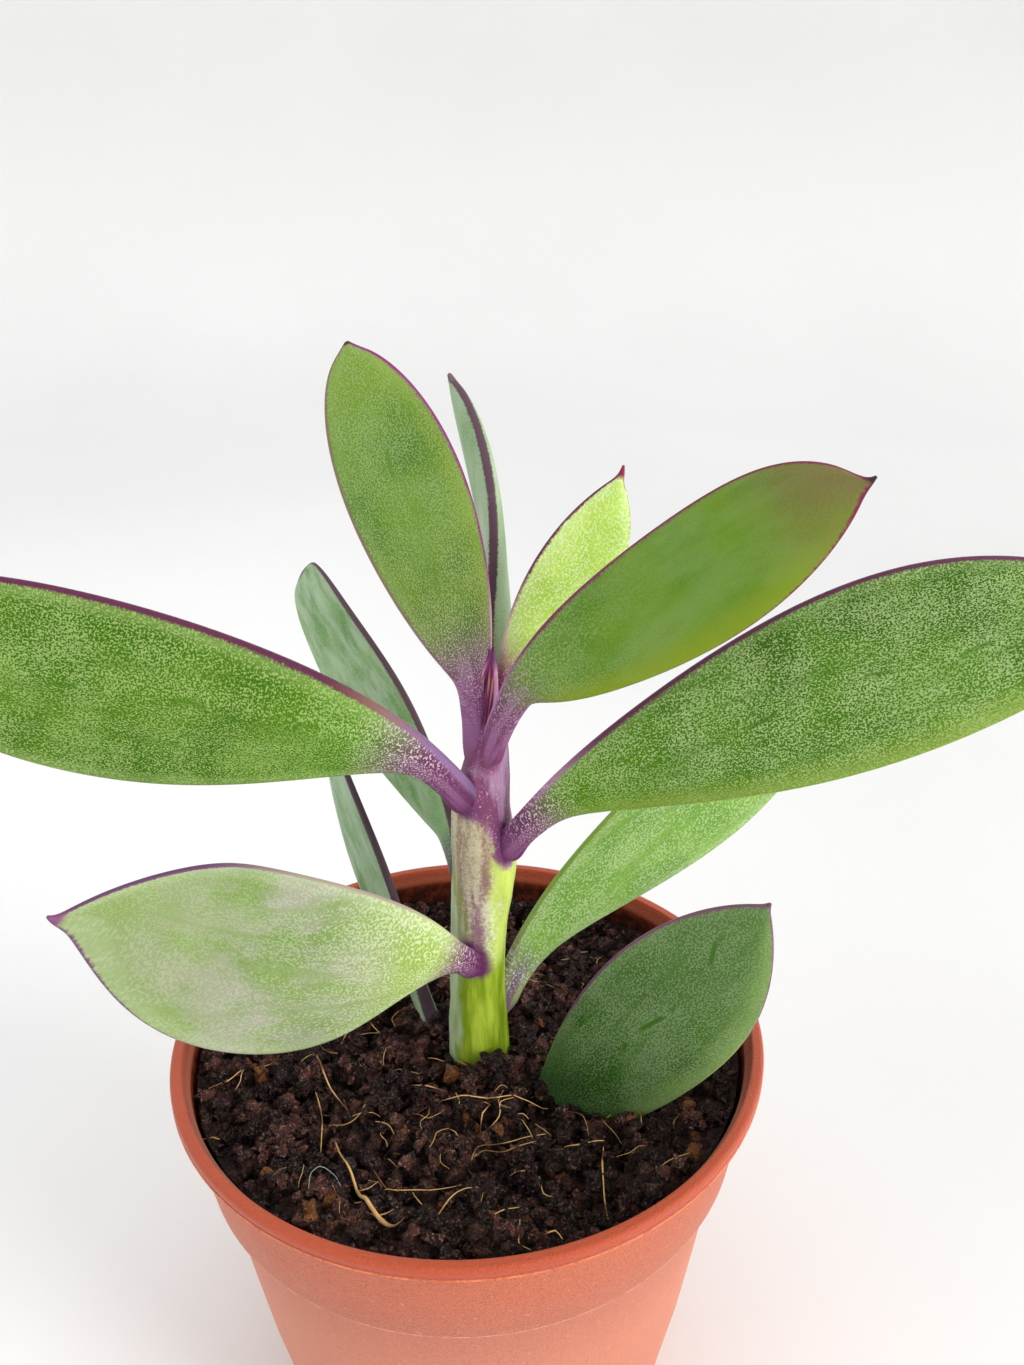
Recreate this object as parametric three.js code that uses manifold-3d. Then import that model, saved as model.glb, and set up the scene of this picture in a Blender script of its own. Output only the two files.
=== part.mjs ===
// A potted vertical leaf senecio: one upright stem with eleven fleshy leaves and a folded bud leaf,
// rooted in dark coir soil in an 85 mm plastic nursery pot.
// Millimetres, +Z up. The origin is the centre of the pot's underside and -Y faces the viewer.
// Every leaf of this plant stands edge up, so the vertical lies in the plane of its blade.
import * as THREE from "three";
import { mergeVertices } from "three/addons/utils/BufferGeometryUtils.js";
import Module from "manifold-3d";

const wasm = await Module();
wasm.setup();

// Driving dimensions of the pot
const POT_HEIGHT = 68;
const RIM_RADIUS = 42.5;
const LIP_WIDTH = 1.3;
const LIP_HEIGHT = 1.5;
const LIP_ROUND = 0.4;
const LIP_TUCK = 0.2;
const BAND_TOP_RADIUS = 41;
const BAND_BOTTOM_RADIUS = 40.1;
const BAND_DEPTH = 13.9;
const BAND_STEP = 0.5;
const BASE_RADIUS = 29;
const BASE_ROUND = 0.7;
const WALL = 1;
const FLOOR = 1.2;
const POT_SIDES = 60;
const DRAIN_COUNT = 6;
const DRAIN_RADIUS = 2.5;
const DRAIN_CIRCLE = 19;
const DRAIN_SIDES = 12;

// Driving dimensions of the soil
const SOIL_LEVEL = 61.4;
const CRUMB_RELIEF = 0.75;
const CRUMB_PITCH = 6.5;
const SOIL_RINGS = 13;
const SOIL_SIDES = 54;

// Driving dimensions of the plant
const GAP = 0.3;
const STEM_SIDES = 18;
const STEM_STEPS = 22;
const BLADE_SIDES = 12;
const BLADE_STEPS = 20;
const BLADE_HALF_THICKNESS = 1.5;
const PETIOLE_HALF_THICKNESS = 1.5;
const TIP_HALF_SIZE = 0.4;
const PETIOLE_FADE = 0.45;
const THICKENING_SHARE = 0.3;
const TIP_FALL_POWER = 5;
const MARGIN_BLUNTNESS = 0.75;
const RIPPLES = 1.5;

// The stem's [lean along X, radius, height], from its buried foot up to the shoot tip
const STEM_COURSE = [
  [0.8, 3.4, 38],
  [1.1, 4.4, 50],
  [1.3, 4.6, 62],
  [1.5, 4.15, 79],
  [2.6, 4.5, 91],
  [2.4, 3.9, 100.5],
  [3.3, 3.15, 108],
  [3.9, 2.5, 112],
  [4.1, 1.1, 115],
];

// Each leaf runs from its foot inside the stem to its tip along a curve with two handles.
// halfWidth is half the blade's width. swell and taper set how soon it widens and how bluntly it
// ends, and lowerTaper does so for its lower edge where that differs. petiole is the half width of
// the stalk, petioleShare its share of the length, roll turns the blade about its midline in
// degrees, cup curls its edges to one side and wave ripples them. halfThickness and tipSize stand in
// for the common blade thickness and tip where a leaf differs.
const LEAVES = [
  {
    name: "leaf_left_long",
    foot: [2, -1.6, 102], footHandle: [-3, -8, 122],
    tipHandle: [-46.5, -9, 120.5], tip: [-66.5, -14, 136],
    halfWidth: 11.3, swell: 0.8, taper: 0.55, petiole: 2.3, petioleShare: 0.12, cup: 0.8, wave: 0.5,
  },
  {
    name: "leaf_right_long",
    foot: [4.3, -1.5, 95.3], footHandle: [8, -9, 111.5],
    tipHandle: [49.5, -11.5, 125], tip: [78, -16, 136.5],
    halfWidth: 11.9, swell: 0.95, taper: 0.55, petiole: 2.1, petioleShare: 0.1, cup: 0.8, wave: -0.5,
  },
  {
    name: "leaf_low_left",
    foot: [2.6, -2.4, 78], footHandle: [-3, -14.5, 93],
    tipHandle: [-29, -22.5, 89.5], tip: [-39.5, -36, 109.5],
    halfWidth: 11.8, swell: 0.85, taper: 0.65, lowerTaper: 1.1, petiole: 2.1, petioleShare: 0.08,
    cup: 0.6, wave: 0.4,
  },
  {
    name: "leaf_top_right",
    foot: [3.9, -2, 110.5], footHandle: [8.5, -8.5, 128],
    tipHandle: [30, -18, 139.5], tip: [41.5, -27, 151.5],
    halfWidth: 7.6, swell: 1.05, taper: 0.65, lowerTaper: 0.85, petiole: 1.7, petioleShare: 0.1,
    cup: 0.5, wave: 0.3,
  },
  {
    name: "leaf_top_left",
    foot: [1.6, -0.6, 108], footHandle: [3.4, -1, 126.5],
    tipHandle: [-7.5, -4.5, 150], tip: [-10.5, -6, 162.5],
    halfWidth: 6.9, swell: 0.9, taper: 0.5, petiole: 1.4, petioleShare: 0.16, cup: 0.5, wave: 0.3,
  },
  {
    name: "leaf_top_small",
    foot: [4.9, 0.8, 112.5], footHandle: [7.5, 1, 129],
    tipHandle: [18.5, 1, 137.5], tip: [20.5, 1, 148],
    halfWidth: 5, swell: 0.85, taper: 0.75, petiole: 1.2, petioleShare: 0.14, cup: 0.3, wave: 0.2,
  },
  {
    name: "leaf_top_back",
    foot: [3.8, 1.8, 112.5], footHandle: [7, 9, 129.5],
    tipHandle: [4.5, 18.5, 144.5], tip: [-1, 26, 156],
    halfWidth: 6, swell: 0.7, taper: 0.8, petiole: 1.3, petioleShare: 0.12, roll: -9, cup: 0.3, wave: 0.2,
  },
  {
    name: "leaf_back_right",
    foot: [4, 1.2, 65.5], footHandle: [10.5, 6.5, 82],
    tipHandle: [33.5, 16, 91.5], tip: [57, 25, 105],
    halfWidth: 9.2, swell: 0.8, taper: 0.6, petiole: 1.8, petioleShare: 0.1, cup: 0.6, wave: 0.4,
  },
  {
    name: "leaf_low_right",
    foot: [4.2, -2.6, 44], footHandle: [17.5, -14, 62],
    tipHandle: [27.5, -14.5, 83], tip: [37, -20, 99.5],
    halfWidth: 10, swell: 0.85, taper: 0.8, lowerTaper: 0.7, petiole: 2, petioleShare: 0.05,
    cup: 0.6, wave: 0.4,
  },
  {
    name: "leaf_back_left",
    foot: [-0.2, 2, 87], footHandle: [-3, 14, 94.5],
    tipHandle: [-20, 25, 112.5], tip: [-26.5, 36, 126],
    halfWidth: 9, swell: 0.8, taper: 0.38, petiole: 1.6, petioleShare: 0.14, cup: 0.6, wave: 0.4,
  },
  {
    name: "leaf_low_back_left",
    foot: [-1.6, 1.6, 50], footHandle: [-13, 16, 74],
    tipHandle: [-19.5, 21, 92], tip: [-23, 27, 104],
    halfWidth: 6.8, swell: 0.9, taper: 0.6, petiole: 1.8, petioleShare: 0.2, roll: -6, cup: 0.4,
    wave: 0.3,
  },
];
const BUD = {
  name: "bud_leaf",
  foot: [3.4, -0.7, 112], footHandle: [3.4, -0.8, 117],
  tipHandle: [4, -1, 121], tip: [4.4, -1, 125.5],
  halfWidth: 1.3, swell: 0.6, taper: 0.9, petiole: 1, petioleShare: 0.1, cup: 0.2, wave: 0,
  halfThickness: 1.1, tipSize: 0.3,
};

// The leaves that crowd at the shoot tip, outermost first: each is hollowed to clear those before it
const SHOOT_ORDER = ["leaf_top_right", "leaf_top_left", "bud_leaf", "leaf_top_small", "leaf_top_back"];

// The leaves whose stalks rise out of the soil
const BURIED = ["leaf_low_right", "leaf_low_back_left"];

const COLOURS = {
  pot: { color: 0xc8735a, roughness: 0.6, metalness: 0 },
  soil: { color: 0x2e1d16, roughness: 0.95, metalness: 0 },
  stem: { color: 0x8a8f4e, roughness: 0.55, metalness: 0 },
  bud: { color: 0x6c3358, roughness: 0.5, metalness: 0 },
  leaf: { color: 0x6d9150, roughness: 0.5, metalness: 0 },
  paleLeaf: { color: 0x9db783, roughness: 0.55, metalness: 0 },
  youngLeaf: { color: 0x9cb63f, roughness: 0.5, metalness: 0 },
};
const LEAF_COLOURS = { leaf_low_left: "paleLeaf", leaf_top_small: "youngLeaf", bud_leaf: "bud" };

const UP = new THREE.Vector3(0, 0, 1);
const MERGE_DISTANCE = 1e-4;

function toSolid(geometry) {
  const bare = geometry.clone();
  bare.deleteAttribute("normal");
  bare.deleteAttribute("uv");
  const merged = mergeVertices(bare, MERGE_DISTANCE);
  const mesh = new wasm.Mesh({
    numProp: 3,
    vertProperties: new Float32Array(merged.attributes.position.array),
    triVerts: new Uint32Array(merged.index.array),
  });
  return new wasm.Manifold(mesh);
}

function toGeometry(solid) {
  const mesh = solid.getMesh();
  const geometry = new THREE.BufferGeometry();
  geometry.setAttribute("position", new THREE.BufferAttribute(mesh.vertProperties, 3));
  geometry.setIndex(new THREE.BufferAttribute(mesh.triVerts, 1));
  geometry.computeVertexNormals();
  return geometry;
}

function largestBody(solid) {
  const bodies = solid.decompose();
  bodies.sort((a, b) => b.volume() - a.volume());
  return bodies[0];
}

// A lathe turns about Y, so its Y axis is stood up along Z
function turned(profile, sides) {
  const points = profile.map(([radius, height]) => new THREE.Vector2(radius, height));
  return new THREE.LatheGeometry(points, sides).rotateX(Math.PI / 2);
}

function moveVertices(geometry, move) {
  const position = geometry.attributes.position;
  const vertex = new THREE.Vector3();
  for (let i = 0; i < position.count; i += 1) {
    vertex.fromBufferAttribute(position, i);
    move(vertex);
    position.setXYZ(i, vertex.x, vertex.y, vertex.z);
  }
  return geometry;
}

// Pot: tapered wall, a deeper upper band that steps out, and a rolled lip
const bandFoot = POT_HEIGHT - BAND_DEPTH;
const lipFoot = POT_HEIGHT - LIP_HEIGHT;
const bodyTopRadius = BAND_BOTTOM_RADIUS - BAND_STEP;

function bodyRadius(height) {
  return BASE_RADIUS + (bodyTopRadius - BASE_RADIUS) * (height / bandFoot);
}

function innerRadius(height) {
  if (height <= bandFoot) return bodyRadius(height) - WALL;
  const share = (height - bandFoot) / (lipFoot - bandFoot);
  return bodyTopRadius - WALL + (BAND_TOP_RADIUS - bodyTopRadius) * share;
}

function makePot() {
  const profile = [
    [0, 0],
    [BASE_RADIUS - BASE_ROUND, 0],
    [bodyRadius(BASE_ROUND), BASE_ROUND],
    [bodyTopRadius, bandFoot],
    [BAND_BOTTOM_RADIUS, bandFoot],
    [BAND_TOP_RADIUS, lipFoot],
    [RIM_RADIUS - LIP_TUCK, lipFoot],
    [RIM_RADIUS, POT_HEIGHT - LIP_HEIGHT / 2],
    [RIM_RADIUS - LIP_ROUND, POT_HEIGHT],
    [RIM_RADIUS - LIP_WIDTH, POT_HEIGHT],
    [innerRadius(lipFoot), lipFoot],
    [innerRadius(bandFoot), bandFoot],
    [innerRadius(FLOOR), FLOOR],
    [0, FLOOR],
  ];
  let pot = toSolid(turned(profile, POT_SIDES));
  for (let i = 0; i < DRAIN_COUNT; i += 1) {
    const angle = (2 * Math.PI * i) / DRAIN_COUNT;
    const hole = new THREE.CylinderGeometry(DRAIN_RADIUS, DRAIN_RADIUS, 4 * FLOOR, DRAIN_SIDES);
    hole.rotateX(Math.PI / 2);
    hole.translate(DRAIN_CIRCLE * Math.cos(angle), DRAIN_CIRCLE * Math.sin(angle), 0);
    pot = pot.subtract(toSolid(hole));
  }
  return pot;
}

// Stem: the course's lean, radius and height are all eased along one curve
const stemCurve = new THREE.CatmullRomCurve3(STEM_COURSE.map((row) => new THREE.Vector3(...row)));

function makeStem(grow = 0) {
  const geometry = new THREE.CylinderGeometry(1, 1, 1, STEM_SIDES, STEM_STEPS);
  moveVertices(geometry, (vertex) => {
    const along = vertex.y + 0.5;
    const course = stemCurve.getPoint(along);
    const reach = course.y + grow;
    const end = Math.abs(vertex.y) === 0.5 ? Math.sign(vertex.y) * grow : 0;
    vertex.set(course.x + vertex.x * reach, -vertex.z * reach, course.z + end);
  });
  return toSolid(geometry);
}

// Leaf: a closed tube whose round section is drawn out into a thick blade along the midline
function bladeShare(along, swell, taper) {
  if (along <= 0 || along >= 1) return 0;
  const peak = swell / (swell + taper);
  const most = peak ** swell * (1 - peak) ** taper;
  return (along ** swell * (1 - along) ** taper) / most;
}

function edgeReach(leaf, along, taper) {
  const bladeAlong = (along - leaf.petioleShare) / (1 - leaf.petioleShare);
  const blade = leaf.halfWidth * bladeShare(bladeAlong, leaf.swell, taper);
  const fade = 1 - THREE.MathUtils.smoothstep(along, leaf.petioleShare, leaf.petioleShare + PETIOLE_FADE);
  const stalk = leaf.petiole * fade;
  return Math.max(Math.cbrt(stalk ** 3 + blade ** 3), leaf.tipSize ?? TIP_HALF_SIZE);
}

function thicknessReach(leaf, along) {
  const blade = leaf.halfThickness ?? BLADE_HALF_THICKNESS;
  const stalk = Math.min(PETIOLE_HALF_THICKNESS, leaf.petiole);
  const ease = THREE.MathUtils.smoothstep(along, leaf.petioleShare, leaf.petioleShare + THICKENING_SHARE);
  const tipFall = Math.sqrt(1 - along ** TIP_FALL_POWER);
  return Math.max(THREE.MathUtils.lerp(stalk, blade, ease) * tipFall, leaf.tipSize ?? TIP_HALF_SIZE);
}

function makeLeaf(leaf, grow = 0) {
  const ends = [leaf.foot, leaf.footHandle, leaf.tipHandle, leaf.tip];
  const midline = new THREE.CubicBezierCurve3(...ends.map((point) => new THREE.Vector3(...point)));
  const roll = THREE.MathUtils.degToRad(leaf.roll ?? 0);
  const halfStep = Math.PI / BLADE_SIDES;
  const geometry = new THREE.CylinderGeometry(1, 1, 1, BLADE_SIDES, BLADE_STEPS, false, halfStep);
  moveVertices(geometry, (vertex) => {
    const along = vertex.y + 0.5;
    const tangent = midline.getTangentAt(along);
    const across = UP.clone().addScaledVector(tangent, -tangent.z).normalize();
    across.applyAxisAngle(tangent, roll);
    const through = across.clone().cross(tangent);
    const taper = vertex.x > 0 ? leaf.taper : leaf.lowerTaper ?? leaf.taper;
    const width = edgeReach(leaf, along, taper) + grow;
    const thickness = thicknessReach(leaf, along) + grow;
    const blunt = Math.sign(vertex.z) * Math.abs(vertex.z) ** MARGIN_BLUNTNESS;
    const bladeEase = Math.min(edgeReach(leaf, along, leaf.taper) / leaf.halfWidth, 1);
    const curl = leaf.cup * vertex.x ** 2 * bladeEase;
    const ripple = leaf.wave * vertex.x * bladeEase * Math.sin(along * RIPPLES * 2 * Math.PI);
    const atEnd = Math.abs(vertex.y) === 0.5 ? Math.sign(vertex.y) * grow : 0;
    const centre = midline.getPointAt(along).addScaledVector(tangent, atEnd);
    centre.addScaledVector(across, vertex.x * width);
    centre.addScaledVector(through, blunt * thickness + curl + ripple);
    vertex.copy(centre);
  });
  return toSolid(geometry);
}

// Soil: fills the pot to just under its rim, with a crumbly top
function crumbs(x, y) {
  const turn = (2 * Math.PI) / CRUMB_PITCH;
  const coarse = Math.sin(turn * (x + 0.45 * y)) * Math.cos(turn * (y - 0.35 * x));
  const fine = Math.sin(turn * 1.7 * (x - 0.8 * y) + 1) * Math.sin(turn * 1.5 * (y + 0.6 * x) + 2);
  return CRUMB_RELIEF * (0.6 * coarse + 0.4 * fine);
}

function makeSoil() {
  const clear = (height) => innerRadius(height) - GAP;
  const soilFoot = FLOOR + GAP;
  const edge = clear(SOIL_LEVEL);
  const profile = [[0, soilFoot], [clear(soilFoot), soilFoot], [clear(bandFoot), bandFoot]];
  for (let i = 0; i <= SOIL_RINGS; i += 1) {
    profile.push([edge * (1 - i / SOIL_RINGS), SOIL_LEVEL]);
  }
  const geometry = turned(profile, SOIL_SIDES);
  moveVertices(geometry, (vertex) => {
    const radius = Math.hypot(vertex.x, vertex.y);
    const onTop = vertex.z > SOIL_LEVEL - 0.01;
    if (onTop && radius < edge - 0.01) vertex.z += crumbs(vertex.x, vertex.y);
  });
  return toSolid(geometry);
}

const stem = makeStem();
const stemClearance = makeStem(GAP);
const solids = new Map();
for (const leaf of [...LEAVES, BUD]) solids.set(leaf.name, makeLeaf(leaf).subtract(stemClearance));

const clearances = new Map();
for (const leaf of [...LEAVES, BUD]) clearances.set(leaf.name, makeLeaf(leaf, GAP));
SHOOT_ORDER.forEach((name, order) => {
  for (const earlier of SHOOT_ORDER.slice(0, order)) {
    solids.set(name, solids.get(name).subtract(clearances.get(earlier)));
  }
});

let soil = makeSoil().subtract(stemClearance);
for (const name of BURIED) soil = soil.subtract(clearances.get(name));

function namedMesh(name, solid, colour) {
  const mesh = new THREE.Mesh(toGeometry(largestBody(solid)), new THREE.MeshStandardMaterial(colour));
  mesh.name = name;
  return mesh;
}

const plant = new THREE.Group();
plant.add(namedMesh("stem", stem, COLOURS.stem));
for (const [name, solid] of solids) {
  plant.add(namedMesh(name, solid, COLOURS[LEAF_COLOURS[name] ?? "leaf"]));
}

const senecio = new THREE.Group();
senecio.add(namedMesh("pot", makePot(), COLOURS.pot));
senecio.add(namedMesh("soil", soil, COLOURS.soil));
senecio.add(plant);

export default senecio;
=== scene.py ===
# A potted vertical leaf senecio: upright stem, eleven fleshy leaves held edge up, a folded bud leaf,
# dark coir soil and a small terracotta-coloured nursery pot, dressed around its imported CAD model.
import random
from math import cos, pi, radians, sin, sqrt

import bmesh
import bpy
from mathutils import Euler, Matrix, Vector
from mathutils.bvhtree import BVHTree


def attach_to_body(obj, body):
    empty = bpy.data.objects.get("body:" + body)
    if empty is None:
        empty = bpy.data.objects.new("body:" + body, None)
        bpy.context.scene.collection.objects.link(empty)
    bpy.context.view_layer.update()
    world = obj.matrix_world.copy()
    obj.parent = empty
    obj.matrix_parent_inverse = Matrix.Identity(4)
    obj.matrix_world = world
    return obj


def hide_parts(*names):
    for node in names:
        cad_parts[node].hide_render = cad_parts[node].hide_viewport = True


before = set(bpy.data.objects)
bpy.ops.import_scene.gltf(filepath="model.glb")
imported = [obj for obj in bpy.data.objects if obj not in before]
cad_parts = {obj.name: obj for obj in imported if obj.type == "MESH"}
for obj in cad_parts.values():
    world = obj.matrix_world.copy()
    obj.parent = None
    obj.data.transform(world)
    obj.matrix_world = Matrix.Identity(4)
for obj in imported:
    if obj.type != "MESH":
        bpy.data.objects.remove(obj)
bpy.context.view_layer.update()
MM = 0.001
random.seed(7)


# Camera: held close in front of the plant and a little over it, looking down into the pot with a
# wide lens, and turned a hair clockwise, as the photograph was taken.
CAMERA_PLACE = Vector((6.9, -123.4, 168.6)) * MM
CAMERA_DIP = radians(21.3)
CAMERA_TURN = radians(0.7)
CAMERA_LENS = 27

camera_data = bpy.data.cameras.new("camera")
camera_data.lens = CAMERA_LENS
camera_data.clip_start = 0.01
camera = bpy.data.objects.new("camera", camera_data)
bpy.context.scene.collection.objects.link(camera)
aim = Matrix.Rotation(pi / 2 - CAMERA_DIP, 4, "X") @ Matrix.Rotation(-CAMERA_TURN, 4, "Z")
camera.matrix_world = Matrix.Translation(CAMERA_PLACE) @ aim
bpy.context.scene.camera = camera


# Pot: a thin injection-moulded nursery pot of matte terracotta-coloured plastic. Its wall was drawn
# as one profile and spun: a deeper band under a rolled lip with a groove on top, a step below the
# band, and six drainage holes in the floor. A hair of moulding flash stands out under the lip.
def clear_hands():
    """Nothing stays selected, so the next operator works on the new piece alone."""
    if bpy.context.object and bpy.context.object.mode == "EDIT":
        bpy.ops.object.mode_set(mode="OBJECT")
    bpy.ops.object.select_all(action="DESELECT")


def open_mesh():
    bpy.ops.object.mode_set(mode="EDIT")
    bpy.ops.mesh.select_all(action="SELECT")


def close_mesh():
    """Every face is turned outward, and the mesh is closed."""
    bpy.ops.mesh.select_all(action="SELECT")
    bpy.ops.mesh.normals_make_consistent(inside=False)
    bpy.ops.object.mode_set(mode="OBJECT")


def take_up(piece, *others):
    """The piece is made the active one, with the others selected beside it."""
    clear_hands()
    for each in (piece, *others):
        each.select_set(True)
    bpy.context.view_layer.objects.active = piece


def settle(piece, name):
    """The place, turn and size of a finished piece go into its mesh, and it gets its name."""
    take_up(piece)
    bpy.ops.object.transform_apply(location=True, rotation=True, scale=True)
    piece.name = name
    piece.data.name = name
    return piece


def work(piece, kind, **settings):
    """One modifier is set up and applied at once."""
    take_up(piece)
    tool = piece.modifiers.new("work", kind)
    for name, value in settings.items():
        setattr(tool, name, value)
    bpy.ops.object.modifier_apply(modifier=tool.name)


def spin_profile(corners, steps):
    """A profile of (radius, height) corners in mm is drawn point by point and spun about the axis."""
    clear_hands()
    bpy.ops.mesh.primitive_plane_add(size=MM)
    piece = bpy.context.object
    open_mesh()
    bpy.ops.mesh.merge(type="CENTER")
    points = [Vector((radius, 0, height)) * MM for radius, height in corners]
    bpy.ops.transform.translate(value=points[0])
    for pen, point in zip(points, points[1:]):
        bpy.ops.mesh.extrude_vertices_move(TRANSFORM_OT_translate={"value": point - pen})
    bpy.ops.mesh.select_all(action="SELECT")
    bpy.ops.mesh.spin(steps=steps, angle=2 * pi, center=(0, 0, 0), axis=(0, 0, 1))
    bpy.ops.mesh.select_all(action="SELECT")
    bpy.ops.mesh.remove_doubles(threshold=0.01 * MM)
    close_mesh()
    return piece


def paint(code):
    """A colour written as six hex digits becomes the linear colour that a shader takes."""
    shades = [int(code[i : i + 2], 16) / 255 for i in (0, 2, 4)]
    linear = [s / 12.92 if s <= 0.04045 else ((s + 0.055) / 1.055) ** 2.4 for s in shades]
    return (*linear, 1)


class Finish:
    """A procedural finish in coats of colour, with all its sizes and places in mm."""

    def __init__(self, name, roughness, gloss=0.5, flesh=0, flesh_depth=1):
        self.material = bpy.data.materials.new(name)
        self.material.use_nodes = True
        self.tree = self.material.node_tree
        self.shader = self.tree.nodes["Principled BSDF"]
        self.shader.inputs["Roughness"].default_value = roughness
        self.shader.inputs["Specular IOR Level"].default_value = gloss
        self.shader.inputs["Subsurface Weight"].default_value = flesh
        self.shader.inputs["Subsurface Scale"].default_value = flesh_depth * MM
        place = self.tree.nodes.new("ShaderNodeTexCoord").outputs["Object"]
        self.spot = self.stretched(place, (1 / MM, 1 / MM, 1 / MM))
        self.tone = None

    def put(self, kind, inputs, **settings):
        node = self.tree.nodes.new(kind)
        for name, value in settings.items():
            setattr(node, name, value)
        for key, value in inputs.items():
            if isinstance(value, bpy.types.NodeSocket):
                self.tree.links.new(value, node.inputs[key])
            else:
                node.inputs[key].default_value = value
        return node

    def marked(self, name, output="Fac"):
        """What the piece's own attribute of that name says."""
        return self.put("ShaderNodeAttribute", {}, attribute_name=name).outputs[output]

    def parts(self, vector):
        return self.put("ShaderNodeSeparateXYZ", {"Vector": vector}).outputs[:3]

    def stretched(self, vector, scale, shift=(0, 0, 0)):
        sizes = {"Vector": vector, "Scale": scale, "Location": shift}
        return self.put("ShaderNodeMapping", sizes).outputs["Vector"]

    def mottle(self, size, detail=2, rough=0.5, warp=0, at=None):
        """Noise whose blotches are about that size."""
        inputs = {"Vector": at or self.spot, "Scale": 1 / size, "Detail": detail}
        inputs.update({"Roughness": rough, "Distortion": warp})
        return self.put("ShaderNodeTexNoise", inputs).outputs["Fac"]

    def step(self, value, low, high, to_low=0, to_high=1):
        """The value eased from one level to another between two marks."""
        inputs = {"Value": value, "From Min": low, "From Max": high}
        inputs.update({"To Min": to_low, "To Max": to_high})
        return self.put("ShaderNodeMapRange", inputs, interpolation_type="SMOOTHSTEP").outputs[0]

    def band(self, value, rise, fall, rest=0):
        """One between a rise and a fall, each given by two marks, and the rest beyond the fall."""
        return self.both(self.step(value, *rise), self.step(value, *fall, 1, rest))

    def sum(self, operation, first, second):
        inputs = {0: first, 1: second}
        return self.put("ShaderNodeMath", inputs, operation=operation).outputs[0]

    def both(self, first, second):
        return self.sum("MULTIPLY", first, second)

    def add(self, first, second):
        return self.sum("ADD", first, second)

    def less(self, first, second):
        return self.sum("SUBTRACT", first, second)

    def stray(self, value, noise, spread):
        """A place that noise moves up to half the spread either way."""
        return self.add(value, self.less(self.both(noise, spread), spread / 2))

    def blend(self, amount, under, over):
        """Two colours in a share; each is a socket or six hex digits."""
        under, over = (paint(each) if isinstance(each, str) else each for each in (under, over))
        inputs = {0: amount, 6: under, 7: over}
        return self.put("ShaderNodeMix", inputs, data_type="RGBA").outputs[2]

    def base(self, amount, under, over):
        """The two colours that the finish starts from."""
        self.tone = self.blend(amount, under, over)

    def coat(self, amount, over):
        """One more colour goes over the coats so far."""
        self.tone = self.blend(amount, self.tone, over)

    def link(self, socket, name):
        self.tree.links.new(socket, self.shader.inputs[name])

    def relief(self, height, depth):
        """Bump that stands that deep."""
        bump = self.put("ShaderNodeBump", {"Height": height, "Distance": depth * MM})
        self.link(bump.outputs["Normal"], "Normal")

    def cover(self, piece):
        """The coats go onto the shader, and the finish onto a piece."""
        self.link(self.tone, "Base Color")
        piece.data.materials.clear()
        piece.data.materials.append(self.material)


def attach(piece, node):
    """A finished piece stands for its CAD node and rides with the pot."""
    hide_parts(node)
    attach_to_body(piece, "root")


POT_PROFILE = [
    (0, 0), (28.3, 0), (28.8, 0.2), (29.1, 0.7), (31.2, 12.9), (33.5, 25), (35.3, 37), (37.5, 52.7),
    (37.6, 52.8), (38.95, 52.8), (39.07, 52.92), (40.2, 60.3), (41.1, 66.4), (41.5, 66.48),
    (42.3, 66.42), (42.5, 66.36), (42.48, 66.5), (42.32, 66.62), (42.46, 67), (42.5, 67.35),
    (42.44, 67.68), (42.26, 67.9), (42.02, 67.97), (41.82, 67.99), (41.7, 67.96), (41.58, 67.97),
    (41.4, 67.95), (41.15, 67.98), (40.95, 67.88), (40.85, 67.6), (40.6, 66.9), (40.0, 66.0),
    (38.1, 52.9), (37.9, 52.4), (36.6, 52.2), (34.7, 40), (32.8, 28), (28.4, 1.5), (28.0, 1.2), (0, 1.2),
]
POT_STEPS = 192
STEP_HEIGHT = 52.7
LIP_HEIGHT = 66.5
WALL_SLOPE = 0.169
DRAIN_CIRCLE = 19 * MM
DRAIN_RADIUS = 2.5 * MM
DRAIN_COUNT = 6
POT_CREASE = radians(38)
PIT_SHIFT = (9000, 9000, 9000)

pot = spin_profile(POT_PROFILE, POT_STEPS)
clear_hands()
cutters = []
for turn in range(DRAIN_COUNT):
    angle = 2 * pi * turn / DRAIN_COUNT
    place = (DRAIN_CIRCLE * cos(angle), DRAIN_CIRCLE * sin(angle), 0)
    bpy.ops.mesh.primitive_cylinder_add(vertices=32, radius=DRAIN_RADIUS, depth=6 * MM, location=place)
    cutters.append(bpy.context.object)
take_up(*cutters)
bpy.ops.object.join()
cutter = bpy.context.object
work(pot, "BOOLEAN", operation="DIFFERENCE", object=cutter)
bpy.data.objects.remove(cutter)
settle(pot, "nursery_pot")
bpy.ops.object.shade_smooth_by_angle(angle=POT_CREASE)

plastic = Finish("terracotta_plastic", 0.5, 0.3)
height = plastic.parts(plastic.spot)[2]
flat_spot = plastic.stretched(plastic.spot, (1, 1, 0))
radius = plastic.put("ShaderNodeVectorMath", {0: flat_spot}, operation="LENGTH").outputs["Value"]
grain = plastic.mottle(0.3, 3, 0.65)
specks = plastic.step(plastic.mottle(0.7, 1), 0.7, 0.76)
pit_spot = plastic.stretched(plastic.spot, (1, 1, 1), PIT_SHIFT)
pits = plastic.step(plastic.mottle(0.9, 1, at=pit_spot), 0.7, 0.78)
ragged = plastic.mottle(1.6, 3, 0.7)
plastic.base(plastic.mottle(14, 3), "cd6c45", "c2603c")
plastic.coat(plastic.step(grain, 0.42, 0.66, 0, 0.7), "a64a30")
plastic.coat(plastic.both(specks, 0.3), "eab197")
plastic.coat(plastic.both(pits, 0.5), "8a3f2b")
# Below the step the thin body is painted paler towards the bottom, as painted light showing through it
pale_body_light = plastic.step(height, 35, STEP_HEIGHT, 0.35, 0.1)
under_step = plastic.step(height, STEP_HEIGHT, STEP_HEIGHT + 0.1, 1, 0)
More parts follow.
